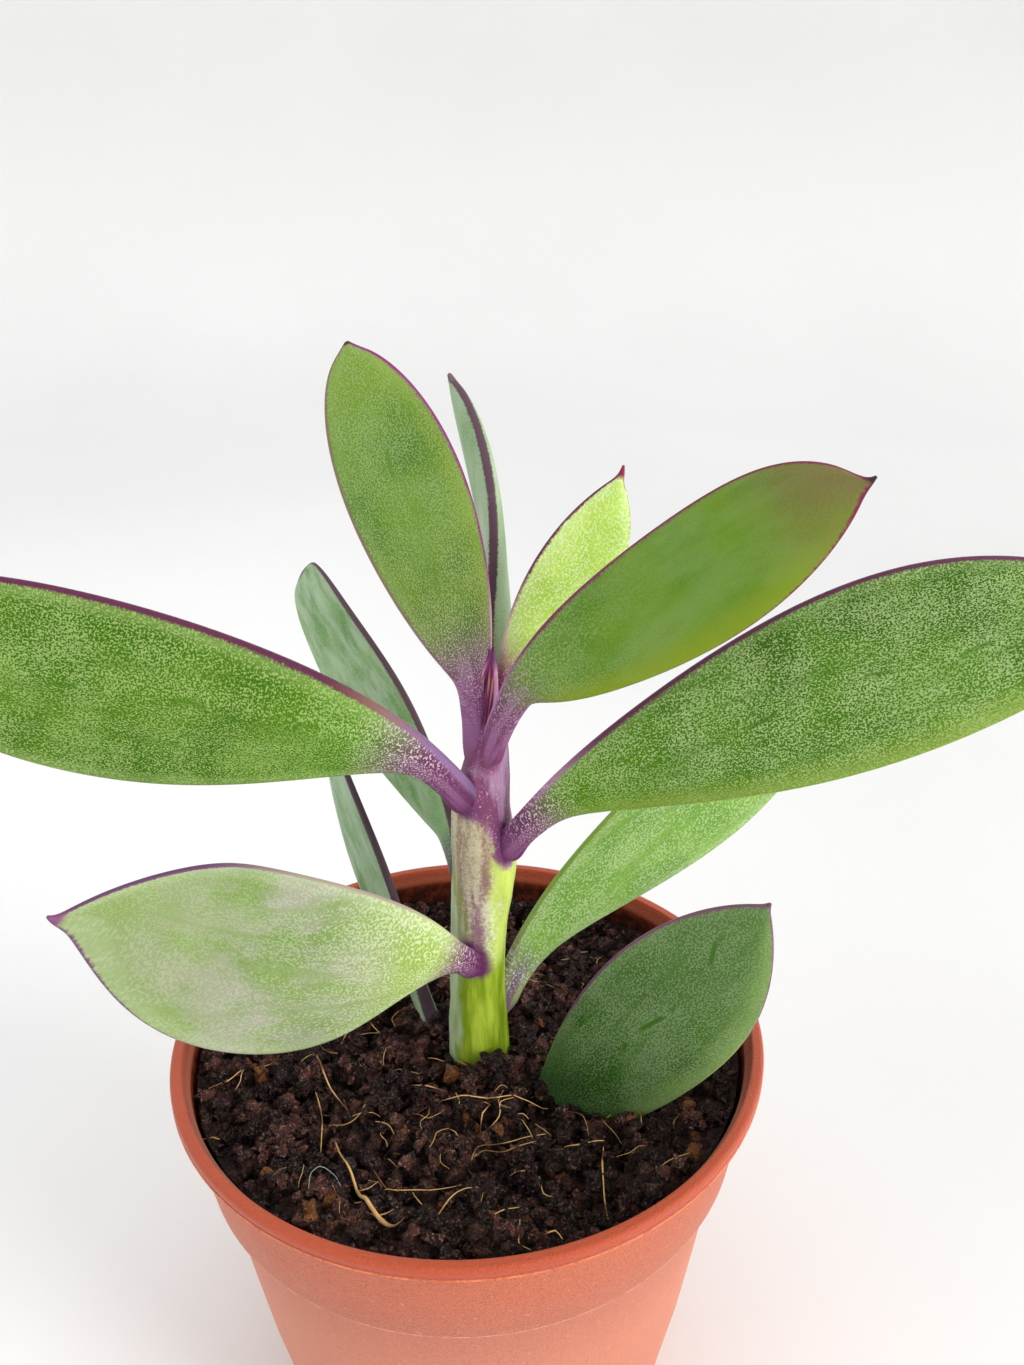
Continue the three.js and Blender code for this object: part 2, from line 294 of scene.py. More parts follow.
plastic.coat(plastic.both(pale_body_light, under_step), "e6a084")
lip = plastic.step(height, LIP_HEIGHT, LIP_HEIGHT + 0.2)
plastic.coat(plastic.both(lip, 0.85), "b74827")
# A ragged hair of flash shines under the lip, and a pale worn line runs along the step
flash = plastic.band(height, (LIP_HEIGHT - 0.24, LIP_HEIGHT - 0.16), (LIP_HEIGHT, LIP_HEIGHT + 0.1))
flash = plastic.both(flash, plastic.step(radius, 41.6, 42))
plastic.coat(plastic.both(flash, plastic.step(ragged, 0.35, 0.6, 0.1, 0.85)), "f08a5e")
worn = plastic.band(height, (STEP_HEIGHT, STEP_HEIGHT + 0.1), (STEP_HEIGHT + 0.3, STEP_HEIGHT + 0.45))
plastic.coat(plastic.both(worn, plastic.step(ragged, 0.35, 0.6, 0.1, 0.7)), "f0b99e")
# Inside, over the soil, the wall is painted darker as shade, deepest down by the soil, with a little soil
# stain
past_wall = plastic.less(radius, plastic.both(height, WALL_SLOPE))
inner = plastic.both(plastic.step(past_wall, 29.5, 29.8, 1, 0), plastic.step(height, 53.1, 53.5))
# The whole inner wall is painted darker as shade
plastic.coat(plastic.both(inner, plastic.step(height, 67.1, 67.7, 0.65, 0)), "8c3a20")
stain_and_shade_inside = plastic.both(inner, plastic.step(height, 65.2, 66.4, 1, 0))
# The tone that darkens towards the soil is painted shade, partly soil stain
stain_and_shade_tone = plastic.blend(plastic.step(height, 64.2, 66.6), "2a0e08", "6e2a14")
plastic.coat(plastic.both(stain_and_shade_inside, plastic.step(ragged, 0.3, 0.6, 0.8, 1)), stain_and_shade_tone)
plastic.link(plastic.step(stain_and_shade_inside, 0, 1, 0.12, 0), "Sheen Weight")
plastic.link(plastic.step(stain_and_shade_inside, 0, 1, 0.3, 0.05), "Specular IOR Level")
plastic.link(plastic.step(lip, 0, 1, 0.52, 0.3), "Roughness")
plastic.relief(grain, 0.22)
plastic.cover(pot)
attach(pot, "pot")


# Soil bed: moist coir mix pressed lightly into the pot to about 6 mm under its rim. It is one closed
# body, spun to fit inside the wall. Its top banks up against the wall, falls off towards the back, and
# is raised in five sizes of lumps with deep gaps between.
SOIL_TOP = 61.0
SOIL_EDGE = 39.2
SOIL_BANK = 3.6
SOIL_FALL = 2.4
SOIL_RINGS = 70
SOIL_STEPS = 200
BANK_START = 0.75

soil_profile = [(0, 1.5), (27.9, 1.5), (36, 51.9), (37.5, 52.8), (38.8, 61.5)]
for ring in range(SOIL_RINGS + 1):
    share = 1 - ring / SOIL_RINGS
    bank = SOIL_BANK * max(share - BANK_START, 0) / (1 - BANK_START)
    soil_profile.append((SOIL_EDGE * share, SOIL_TOP + bank))
soil = spin_profile(soil_profile, SOIL_STEPS)
settle(soil, "coir_bed")
top = soil.vertex_groups.new(name="top")
for vertex in soil.data.vertices:
    if vertex.co.z > (SOIL_TOP - 0.1) * MM:
        from_wall = SOIL_EDGE - vertex.co.xy.length / MM
        top.add([vertex.index], min(0.2 + from_wall / 2, 1), "ADD")
        vertex.co.z -= SOIL_FALL * MM * max(vertex.co.y / (SOIL_EDGE * MM), 0)
work(soil, "SUBSURF", subdivision_type="SIMPLE", levels=1, render_levels=1)


def lumps(name, kind, size):
    """A solid noise that a surface is raised by, with blotches of that size in mm."""
    noise = bpy.data.textures.new(name, kind)
    noise.noise_scale = size * MM
    return noise


def roughen(piece, name, kind, size, strength, direction="NORMAL", group=""):
    """A surface is raised by noise, with blotches and a strength in mm."""
    work(
        piece, "DISPLACE", texture=lumps(name, kind, size), vertex_group=group, direction=direction,
        texture_coords="LOCAL", mid_level=0.5, strength=strength * MM,
    )


roughen(soil, "soil_swells", "CLOUDS", 9, 3.8, "Z", "top")
roughen(soil, "soil_warps", "CLOUDS", 3, 2.8, "NORMAL", "top")
calm = [vertex.co.z for vertex in soil.data.vertices]
roughen(soil, "soil_lumps", "VORONOI", 3.2, -2.6, "NORMAL", "top")
roughen(soil, "soil_crumbs", "VORONOI", 1.4, -1.3, "NORMAL", "top")
roughen(soil, "soil_grains", "CLOUDS", 0.7, 0.9, "NORMAL", "top")
crests = [(vertex.co.z - level) / MM for vertex, level in zip(soil.data.vertices, calm)]
soil.data.attributes.new("crest", "FLOAT", "POINT").data.foreach_set("value", crests)
bpy.ops.object.shade_smooth()

coir = Finish("moist_coir", 0.42, 0.25)
fine = coir.mottle(0.5, 4, 0.7)
coir.base(coir.step(coir.mottle(3.5, 3, 0.6), 0.35, 0.65), "2c1b18", "5a3a32")
# Pale flecks stand for paler coir and for painted glints on the moist soil
coir.coat(coir.step(fine, 0.5, 0.7, 0, 0.85), "9c7264")
# The low gaps between the lumps are painted near black as shade
coir.coat(coir.step(coir.marked("crest"), -0.8, 0.9, 1, 0), "050302")
coir.relief(coir.add(fine, coir.mottle(1, 3, 0.7)), 2.2)
coir.cover(soil)
attach(soil, "soil")


# Coir crumbs: broken husk pith and peat, from pinhead crumbs to clods of 5 mm, which lie loose all
# over the bed. Each shape starts as a block that is cut up, rounded, drawn out and knocked out of
# true, and is then copied in many sizes and turns.
CRUMB_SHAPES = 9
CRUMB_COUNT = 3300
CLOD_SHAPES = 5
CLOD_COUNT = 130
CLOD_RADII = (1.2, 2.8)
SMALLEST_CRUMB = 0.3
CRUMB_GROWTH = 1.1
CRUMB_RARITY = 3.4
CRUMB_FIELD = 39.4
CRUMB_CREASE = radians(34)
OVERHEAD = 100 * MM
DOWN = Vector((0, 0, -1))


def surface_of(piece):
    """A piece's surface, to lay things on and measure from."""
    return BVHTree.FromObject(piece, bpy.context.evaluated_depsgraph_get())


bed = surface_of(soil)


def knock(number, cuts, roundness, jolt, noises):
    """A crumb of about 1.5 units: a block cut up, rounded, drawn out and roughened."""
    clear_hands()
    bpy.ops.mesh.primitive_cube_add(size=1.5)
    crumb = bpy.context.object
    open_mesh()
    bpy.ops.mesh.subdivide(number_cuts=cuts)
    bpy.ops.transform.tosphere(value=roundness)
    longer = 1 + 0.5 * random.random()
    bpy.ops.transform.resize(value=(longer, 1, random.uniform(0.6, 0.9)))
    bpy.ops.transform.vertex_random(offset=jolt, seed=number)
    bpy.ops.object.mode_set(mode="OBJECT")
    for kind, size, strength in noises:
        noise = lumps("crumb_knocks", kind, size / MM)
        crumb.data.transform(Matrix.Translation((4 * number, 0, 0)))
        work(crumb, "DISPLACE", texture=noise, texture_coords="LOCAL", strength=strength)
        crumb.data.transform(Matrix.Translation((-4 * number, 0, 0)))
    return crumb


def strewn(shape, radius, place, squash=0.8, sunk=0.15):
    """A copy of a crumb, with its own mesh, lies on the bed at a place in mm, turned at random."""
    x, y = place[0] * MM, place[1] * MM
    hit = bed.ray_cast(Vector((x, y, OVERHEAD)), DOWN)[0]
    ground = hit.z if hit else SOIL_TOP * MM
    copy = shape.copy()
    copy.data = shape.data.copy()
    bpy.context.scene.collection.objects.link(copy)
    spin = Euler([random.uniform(0, 2 * pi) for _ in range(3)]).to_matrix().to_4x4()
    size = Matrix.Diagonal((radius * MM, radius * MM, radius * squash * MM, 1))
    rest = Matrix.Translation((x, y, ground + radius * sunk * MM))
    copy.data.transform(rest @ size @ spin)
    return copy


def in_field(reach):
    """A random place within a circle."""
    angle = random.uniform(0, 2 * pi)
    distance = reach * sqrt(random.random())
    return distance * cos(angle), distance * sin(angle)


crumb_shapes = [
    knock(number, 1, 0.3, 0.42, [("CLOUDS", 0.6, 1.3)]) for number in range(CRUMB_SHAPES)
]
clod_shapes = [
    knock(number, 7, 0.85, 0.02, [("CLOUDS", 0.9, 1.3), ("VORONOI", 0.5, -0.9), ("CLOUDS", 0.22, 0.55)])
    for number in range(CLOD_SHAPES)
]
batches = {"dark": [], "brown": [], "red": []}
for number in range(CRUMB_COUNT):
    radius = SMALLEST_CRUMB + CRUMB_GROWTH * random.random() ** CRUMB_RARITY
    batch = random.choices(["dark", "brown", "red"], weights=[9, 8, 1])[0]
    copy = strewn(random.choice(crumb_shapes), radius, in_field(CRUMB_FIELD - radius))
    batches[batch].append(copy)
for number in range(CLOD_COUNT):
    radius = random.uniform(*CLOD_RADII)
    batch = random.choices(["dark", "brown"], weights=[1, 1])[0]
    copy = strewn(random.choice(clod_shapes), radius, in_field(CRUMB_FIELD - radius), 0.7, -0.1)
    batches[batch].append(copy)

# Those that stand out: orange husk chips, and clods banked round the foot of the stem
for x, y, radius, batch in (
    (-30.1, -6.5, 1.2, "red"), (-16.6, -28.7, 1.3, "red"), (-2.6, -6.2, 1.2, "red"),
    (-15.9, -12.1, 1.5, "brown"), (12, -29.1, 1.1, "red"), (-27, -17, 2.4, "dark"),
    (-20, -21, 2.3, "dark"), (3.5, -6.6, 2.1, "dark"), (6.5, -6, 1.9, "brown"), (1, -7.2, 1.5, "dark"),
    (8, -24, 2, "dark"), (22, -30, 2.2, "dark"), (-4, -34, 2, "dark"), (30, -17, 1.8, "brown"),
    (5.4, -4.9, 2.8, "brown"), (7.2, -3, 2.4, "dark"), (3.4, -5.7, 2.6, "dark"), (1.2, -6.1, 1.9, "brown"),
):
    shapes = clod_shapes if radius > 1.7 else crumb_shapes
    batches[batch].append(strewn(random.choice(shapes), radius, (x, y), sunk=0.35))

# Each batch has a deep, a middle and a pale tone; the pale flecks are paler husk and painted glints
CRUMB_PAINTS = {
    "dark": ("060303", "33201c", "9f786e"),
    "brown": ("20110c", "74453a", "d4a595"),
    "red": ("5c2e1b", "a56638", "dba268"),
}
piles = []
for batch, copies in batches.items():
    take_up(*copies)
    bpy.ops.object.join()
    pile = settle(bpy.context.object, "coir_crumbs_" + batch)
    bpy.ops.object.shade_smooth_by_angle(angle=CRUMB_CREASE)
    husk = Finish("husk_" + batch, 0.36, 0.32)
    deep, middle, light = CRUMB_PAINTS[batch]
    fine = husk.mottle(0.35, 4, 0.7)
    husk.base(husk.step(husk.mottle(1.8, 3, 0.6), 0.38, 0.62), deep, middle)
    # Pale flecks: paler husk, partly painted glints
    husk.coat(husk.step(fine, 0.52, 0.66, 0, 0.9), light)
    husk.relief(husk.add(fine, husk.mottle(0.9, 3, 0.7)), 2.2)
    husk.cover(pile)
    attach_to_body(pile, "root")
    piles.append(pile)
for crumb in crumb_shapes + clod_shapes:
    bpy.data.objects.remove(crumb)


# Coir fibres: golden hairs of coconut husk that lie over the soil in loose curls, one a split root as
# thick as a matchstick's edge, and one pale thread. Each is a thin round line laid over the crumbs.
ROOT_WIDTHS = [0.1, 0.13, 0.16, 0.22, 0.27, 0.32, 0.16, 0.06]
ROOT = [
    (-17.8, -16.6), (-16.2, -20.6), (-14.6, -23.6), (-13.2, -26.5), (-11.7, -29.2), (-9.4, -32),
    (-7.9, -32.6), (-6.9, -31.5),
]
FIBRES = [
    (0.12, [(-4.3, -10.2), (0.3, -10.9), (5.9, -11.1), (11.2, -10.9)]),
    (0.13, [(18.3, -19.1), (17.7, -23.7), (17.5, -28.3), (17.6, -32.8)]),
    (0.15, [(13.1, -18.5), (15.8, -18.9), (18.4, -18.9)]),
    (0.11, [(-12.4, -21.9), (-10.8, -24.2), (-9.2, -25.5), (-4.8, -25.8), (-0.3, -25.1)]),
    (0.12, [(-21.6, -9.3), (-20, -13.7), (-19.4, -18.8)]),
    (0.15, [(-22.3, -3.7), (-19.6, -8.6), (-16.6, -12.5)]),
    (0.12, [(-36, -11), (-33.8, -9.7), (-32.5, -6.8)]),
    (0.1, [(0.8, -21.1), (1.3, -19.3), (2.3, -18.5), (6.6, -18), (10.7, -17.2)]),
    (0.1, [(1.2, -20.6), (2.6, -19.4), (5.2, -19.9), (9.2, -18.9)]),
    (0.1, [(24.6, -25.4), (26.6, -24.3), (28.9, -23.8)]),
    (0.14, [(-35.3, -20.2), (-34.5, -19.1), (-32.3, -19.6)]),
    (0.14, [(10, -35), (11.2, -34.5), (12, -35.6)]),
    (0.11, [(-3.5, -30.6), (-1.8, -27.7), (-0.1, -26.8), (1.9, -27)]),
    (0.1, [(-6.6, -25.7), (-5, -28.7), (-3.9, -30.2)]),
    (0.13, [(-8.2, -7.4), (-6.2, -7.8), (-3.1, -8.9)]),
    (0.13, [(1.8, -15.5), (2.1, -12.9), (3.1, -11.8), (1.7, -11.4)]),
    (0.1, [(2.4, -16.4), (4.4, -14.4), (4.6, -12.2), (6.4, -11.4)]),
]
HAIR = [(-19.1, -27.8), (-19.2, -25.2), (-18.4, -23.1), (-16.9, -23.6), (-15.4, -26)]
LOOSE_HAIRS = 110
FIBRE_STEP = 0.5

ground_layers = [bed, *(surface_of(pile) for pile in piles)]


def ground_at(x, y):
    """Height of the topmost crumb at a place, in mm."""
    start = Vector((x * MM, y * MM, OVERHEAD))
    hits = [layer.ray_cast(start, DOWN)[0] for layer in ground_layers]
    heights = [hit.z / MM for hit in hits if hit]
    return max(heights) if heights else SOIL_TOP


def bent_line(places):
    """Places joined by a smooth bend, at even steps, each with its share of the way."""
    line = []
    legs = len(places) - 1
    for leg in range(legs):
        before = Vector(places[max(leg - 1, 0)])
        start = Vector(places[leg])
        end = Vector(places[leg + 1])
        after = Vector(places[min(leg + 2, legs)])
        pieces = max(int((end - start).length / FIBRE_STEP), 2)
        for piece in range(pieces + (leg == legs - 1)):
            t = piece / pieces
            bow = (end - before) * (t - 2 * t * t + t**3) + (after - start) * (t**3 - t * t)
            spot = start * (1 - 3 * t * t + 2 * t**3) + end * (3 * t * t - 2 * t**3) + bow * 0.5
            line.append((spot, (leg + t) / legs))
    return line


def lay_fibre(widths, places, lift=0):
    """A round hair lies over the crumbs; widths are its radii in mm from end to end."""
    line = bent_line(places)
    lows = [ground_at(spot.x, spot.y) for spot, share in line]
    held = [max(lows[max(k - 2, 0) : k + 3]) for k in range(len(lows))]
    even = [sum(held[max(k - 3, 0) : k + 4]) / len(held[max(k - 3, 0) : k + 4]) for k in range(len(held))]
    data = bpy.data.curves.new("fibre", "CURVE")
    data.dimensions = "3D"
    data.bevel_depth = MM
    data.bevel_resolution = 1
    data.use_fill_caps = True
    strand = data.splines.new("POLY")
    strand.points.add(len(line) - 1)
    for point, (spot, share), level in zip(strand.points, line, even):
        at = share * (len(widths) - 1)
        k = min(int(at), len(widths) - 2)
        radius = widths[k] + (widths[k + 1] - widths[k]) * (at - k)
        high = level + radius * 0.6 + lift * sin(pi * share)
        point.co = (spot.x * MM, spot.y * MM, high * MM, 1)
        point.radius = radius
    strand_object = bpy.data.objects.new("fibre", data)
    bpy.context.scene.collection.objects.link(strand_object)
    take_up(strand_object)
    bpy.ops.object.convert(target="MESH")
    return strand_object


def gather(strands, name, finish):
    take_up(*strands)
    bpy.ops.object.join()
    bundle = settle(bpy.context.object, name)
    bpy.ops.object.shade_smooth()
    finish.cover(bundle)
    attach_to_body(bundle, "root")


strands = [lay_fibre(ROOT_WIDTHS, ROOT)]
for radius, course in FIBRES:
    strands.append(lay_fibre((radius * 0.4, radius * 0.8, radius * 0.65, radius * 0.35), course))
for number in range(LOOSE_HAIRS):
    x, y = in_field(CRUMB_FIELD - 5)
    heading = random.uniform(0, 2 * pi)
    course = []
    for bend in range(random.choice([3, 4])):
        course.append((x, y))
        heading += random.uniform(-0.9, 0.9)
        x += random.uniform(0.8, 2.2) * cos(heading)
        y += random.uniform(0.8, 2.2) * sin(heading)
    radius = random.uniform(0.04, 0.08)
    strands.append(lay_fibre((radius * 0.6, radius, radius * 0.5), course, random.uniform(-0.4, 0.5)))
golden = Finish("golden_fibre", 0.5, 0.4)
golden.base(golden.mottle(1.2, 2), "bb8240", "f2c988")
golden.coat(golden.step(golden.mottle(6, 1), 0.5, 0.62), "7a5230")
golden.relief(golden.mottle(0.3, 2), 0.1)
gather(strands, "coir_fibres", golden)

thread = Finish("pale_thread", 0.5)
thread.base(thread.mottle(2), "b4c4c8", "dce4e4")
gather([lay_fibre((0.028, 0.034), HAIR, 0.8)], "pale_thread", thread)


# Stem: the plant's one upright stem, rooted in the soil, as fleshy as the leaves. It is lime green
# with white wax by the soil, streaked with brown purple in the middle and violet at the shoot, and
# swells where a leaf stalk leaves it. A ring of its skin is drawn upward step by step.
STEM_SIDES = 20
STEM_COURSE = [
    (0.8, 3.4, 38), (0.95, 3.9, 44), (1.1, 4.4, 50), (1.2, 4.6, 56), (1.3, 4.6, 62), (1.3, 4.4, 67),
    (1.35, 4.05, 73), (1.5, 3.95, 80), (1.9, 4.1, 85.5), (2.6, 4.5, 91), (2.9, 4.65, 95), (2.6, 4.35, 99),
    (2.4, 4.1, 103), (3, 3.5, 106.5), (3.4, 3, 110), (3.7, 2.6, 112.5), (3.9, 2.1, 114.5), (4, 1.5, 116),
    (4.1, 0.8, 117),
]
clear_hands()
lean, girth, height = STEM_COURSE[0]
start = (lean * MM, 0, height * MM)
bpy.ops.mesh.primitive_circle_add(
    vertices=STEM_SIDES, radius=girth * MM, fill_type="NGON", location=start
)
stem = bpy.context.object
bpy.ops.object.transform_apply(location=True)
open_mesh()
for below, above in zip(STEM_COURSE, STEM_COURSE[1:]):
    rise = Vector((above[0] - below[0], 0, above[2] - below[2])) * MM
    bpy.ops.mesh.extrude_region_move(TRANSFORM_OT_translate={"value": rise})
    wider = above[1] / below[1]
    middle = (above[0] * MM, 0, above[2] * MM)
    bpy.ops.transform.resize(value=(wider, wider, 1), center_override=middle)
close_mesh()
settle(stem, "fleshy_stem")
work(stem, "SUBSURF", levels=2, render_levels=2)
roughen(stem, "stem_swells", "CLOUDS", 5, 0.35)
bpy.ops.object.shade_smooth()

skin = Finish("stem_skin", 0.42, 0.2, 0.2)
side, depth, level = skin.parts(skin.spot)
wobble = skin.mottle(4, 3, 0.6)
long_streaks = skin.mottle(1.3, 3, 0.5, at=skin.stretched(skin.spot, (0.8, 0.8, 0.12)))
dots = skin.step(skin.mottle(0.3, 1, 0.5, 0.3), 0.64, 0.72)
crackle = skin.step(skin.mottle(0.45, 3, 0.7, 0.8), 0.46, 0.6)
# How far to the right of the stem's own axis a spot lies, which follows its lean
right = skin.less(side, skin.less(skin.both(level, 0.045), 1.5))
swayed = skin.stray(right, wobble, 3)
raised = skin.stray(level, wobble, 8)
over_low = skin.step(raised, 77, 82)
lime = skin.blend(skin.step(long_streaks, 0.4, 0.66), "7f9c16", "b8d045")
lime = skin.blend(skin.both(over_low, 0.5), lime, "d6e67c")
olive = skin.blend(skin.step(long_streaks, 0.42, 0.62), "8c8e52", "b0b388")
speckle = skin.add(skin.mottle(0.5, 3, 0.7), skin.both(long_streaks, 1.2))
speckle = skin.step(speckle, 0.85, 1.35)
rust = skin.blend(speckle, "8c6863", "c0b896")
brown = skin.blend(skin.step(level, 87, 97), skin.blend(speckle, "8f6676", "d2ccb6"), rust)
violet = skin.blend(skin.step(long_streaks, 0.4, 0.62), "794064", "ab86a6")
skin.base(skin.both(skin.step(swayed, -0.2, 1.2, 1, 0), over_low), lime, olive)
# The brown is a narrow streak over the low left leaf and covers the whole left half higher up
climb = skin.sum("MAXIMUM", skin.less(skin.both(level, 0.2), 16.8), 0)
spread = skin.add(swayed, climb)
streak = skin.both(skin.step(spread, -2.2, -1), skin.step(swayed, 0.1, 1.9, 1, 0))
skin.coat(skin.both(skin.both(streak, over_low), 0.9), brown)
bloom = skin.both(skin.step(spread, -3.4, -2, 1, 0), skin.step(long_streaks, 0.35, 0.6, 0.35, 0.9))
skin.coat(bloom, "bccdae")
web = skin.both(skin.band(swayed, (0, 1), (1.5, 3), 0.1), over_low)
web = skin.both(web, skin.both(crackle, skin.step(raised, 86, 92, 0.8, 0.1)))
skin.coat(web, "e3ead2")
# Violet fills the top, and reaches down the right of the front to the foot of the right long leaf
slope = skin.add(skin.stray(raised, crackle, 3), skin.both(swayed, 5))
slope = skin.both(skin.step(slope, 100, 105.5), skin.step(raised, 95.2, 97.4))
skin.coat(slope, violet)
skin.coat(skin.step(raised, 103, 105), violet)
# Right above the soil the stem is painted darker green as shade
skin.coat(skin.step(raised, 60, 66, 0.75, 0), "4c6a10")
# Round each stalk's foot the stem is dyed purple, as far as the leaves below mark it
dyed = skin.step(skin.add(skin.marked("clasped"), skin.both(wobble, 0.4)), 0.4, 1.1)
skin.coat(dyed, skin.blend(skin.step(level, 103, 106), "6a3360", "85466e"))
skin.coat(skin.both(dots, skin.step(level, 76, 92, 0.05, 0.45)), "e0d3da")
skin.relief(skin.add(long_streaks, skin.both(dots, 0.3)), 0.07)
skin.cover(stem)
dyes = [0.0] * len(stem.data.vertices)
stem.data.attributes.new("clasped", "FLOAT", "POINT").data.foreach_set("value", dyes)
attach(stem, "stem")


# Long leaves: two thick flat blades that stand on edge and arch out to both sides, green under pale
# wax flecks, with a purple upper margin and a purple stalk that clasps the stem. Each is a flat sheet,
# drawn out loop by loop to its outline, cupped, thickened and bent along its midrib.
STATIONS = 34
ROWS = 8
FULL_THICKNESS = 3
STALK_FADE = 0.45


def eased(value, low, high):
    share = min(max((value - low) / (high - low), 0), 1)
    return share * share * (3 - 2 * share)


def blade_swell(share, swell, taper):
    """How wide a blade is along its length, as a share of its widest place."""
    if share <= 0 or share >= 1:
        return 0
    peak = swell / (swell + taper)
    return share**swell * (1 - share) ** taper / (peak**swell * (1 - peak) ** taper)


def side_reach(along, side, point):
    """Half width in mm of one side: (half width, swell, taper, stalk half width, stalk share)."""
    half, swell, taper, stalk, stalk_share = side
    blade = half * blade_swell((along - stalk_share) / (1 - stalk_share), swell, taper)
    fade = 1 - eased(along, stalk_share, stalk_share + STALK_FADE)
    foot = 1 + 0.45 * (1 - eased(along, 0, 0.07))
    reach = ((stalk * fade * foot) ** 3 + blade**3) ** (1 / 3)
    spine = 0.42 if point and along > 0.9 else 0.3
    return max(reach, spine)


def draw_midrib(ends, tilt):
    """The curve, in mm, that a flat blade is bent along, with its edge kept upright."""
    clear_hands()
    bpy.ops.curve.primitive_bezier_curve_add()
    midrib = bpy.context.object
    midrib.data.twist_mode = "Z_UP"
    midrib.data.resolution_u = 64
    foot, foot_handle, tip_handle, tip = (Vector(end) * MM for end in ends)
    points = midrib.data.splines[0].bezier_points
    for end, place, left, right in (
        (points[0], foot, foot, foot_handle), (points[1], tip, tip_handle, tip),
    ):
        end.handle_left_type = end.handle_right_type = "FREE"
        end.co, end.handle_left, end.handle_right = place, left, right
        end.tilt = radians(tilt)
    return midrib


def pick(sheet, wanted):
    for vertex in sheet.verts:
        vertex.select = vertex in wanted
    sheet.select_flush_mode()


def grow_blade(name, midrib_ends, upper, lower, cup, wave, point=0, tilt=0, thickness=1, rim=0.44):
    """A leaf of one sheet; point is the length of the spine at its tip in mm."""
    midrib = draw_midrib(midrib_ends, tilt)
    length = midrib.data.splines[0].calc_length() / MM
    clear_hands()
    bpy.ops.mesh.primitive_grid_add(x_subdivisions=STATIONS, y_subdivisions=ROWS, size=2)
    blade = bpy.context.object
    blade.rotation_euler = (pi / 2, 0, 0)
    bpy.ops.object.transform_apply(rotation=True)
    bpy.ops.object.mode_set(mode="EDIT")
    bpy.ops.mesh.select_mode(type="VERT")
    sheet = bmesh.from_edit_mesh(blade.data)
    step = 2 / STATIONS
    loops = [{v for v in sheet.verts if abs(v.co.x + 1 - step * k) < 0.01} for k in range(STATIONS + 1)]
    rise = 2 / ROWS
    rows = [{v for v in sheet.verts if abs(v.co.z + 1 - rise * k) < 0.01} for k in range(ROWS + 1)]
    # Rows crowd towards the margins, and each is moved sideways for the cup
    for number, row in enumerate(rows):
        across = -1 + rise * number
        pick(sheet, row)
        dish = cup * sin(across * pi / 2) ** 2
        bpy.ops.transform.translate(value=(0, dish * MM, sin(across * pi / 2) - across))
    # Loops crowd towards foot and tip, and each is drawn out to the width of the leaf there
    widest = max(upper[0], lower[0])
    drawn = []
    for number, loop in enumerate(loops):
        even = number / STATIONS
        along = 0.45 * even + 0.55 * (1 - cos(pi * even)) / 2
        blade_end = 1 - point / (length + point)
        inner = along / blade_end
        high = side_reach(min(inner, 1), upper, point)
        low = side_reach(min(inner, 1), lower, point)
        if inner > 1:
            high = low = 0.12 + 0.3 * (1 - along) / (1 - blade_end)
        wedge = min(0.2 + along * length / 4, 1)
        high, low = high * wedge, low * wedge
        ease = min((high + low) / 2 / widest, 1)
        pick(sheet, loop)
        half = (high + low) / 2 * MM
        bpy.ops.transform.resize(value=(1, ease, half), center_override=(0, 0, 0))
        slide = along * (length + point) * MM - (-1 + step * number)
        bpy.ops.transform.translate(value=(slide, 0, (high - low) / 2 * MM))
        ripple = wave * ease * sin(along * 3 * pi) * MM / half
        bpy.ops.transform.rotate(
            value=ripple * min(half / (2 * MM), 1), orient_axis="X", center_override=(0, 0, 0)
        )
        drawn.append((along, high, low))
    place = {v.index: k for k, loop in enumerate(loops) for v in loop}
    level = {v.index: k for k, row in enumerate(rows) for v in row}
    bpy.ops.object.mode_set(mode="OBJECT")
    # Where each spot lies on the leaf, in mm: along it, across it and in from its margin
    fullness = blade.vertex_groups.new(name="fullness")
    spots = []
    for index, number in sorted(place.items()):
        across = sin((-1 + rise * level[index]) * pi / 2)
        along, high, low = drawn[number]
        side = high if across > 0 else low
        spots.extend((along * length, across * side, (1 - abs(across)) * side))
        stalk = min(1.5, upper[3] + 0.3) / 1.5
        body = stalk + (thickness - stalk) * eased(along, upper[4], upper[4] + 0.3)
        slim = max(sqrt(max(1 - along**5, 0)), 0.2)
        swell = max((1 - across**2) ** 0.375, rim)
        foot = min(0.4 + along * length / 6, 1)
        fullness.add([index], min(body * slim * swell * foot, 1), "REPLACE")
    blade.data.attributes.new("leaf_place", "FLOAT_VECTOR", "POINT").data.foreach_set("vector", spots)
    work(
        blade, "SOLIDIFY", thickness=FULL_THICKNESS * MM, offset=0, vertex_group="fullness",
        use_even_offset=True,
    )
    work(blade, "SUBSURF", levels=2, render_levels=2)
    work(blade, "CURVE", object=midrib, deform_axis="POS_X")
    bpy.data.objects.remove(midrib)
    settle(blade, name)
    open_mesh()
    close_mesh()
    bpy.ops.object.shade_smooth()
    return blade


stem_surface = surface_of(stem)


def melt_into_stem(blade, reach=2.6, dye_reach=1.8):
    """Where stalk and stem meet, the stalk is shaded like the stem, and the stem is marked purple."""
    near = blade.vertex_groups.new(name="near_stem")
    for vertex in blade.data.vertices:
        found = stem_surface.find_nearest(vertex.co, reach * MM)
        if found[0]:
            near.add([vertex.index], 1 - found[3] / MM / reach, "REPLACE")
    work(
        blade, "DATA_TRANSFER", object=stem, use_loop_data=True, data_types_loops={"CUSTOM_NORMAL"},
        loop_mapping="POLYINTERP_NEAREST", vertex_group="near_stem",
    )
    blade_surface = surface_of(blade)
    for vertex in stem.data.vertices:
        found = blade_surface.find_nearest(vertex.co, dye_reach * MM)
        if found[0]:
            dyes[vertex.index] = max(dyes[vertex.index], 1 - found[3] / MM / dye_reach)
    stem.data.attributes["clasped"].data.foreach_set("value", dyes)


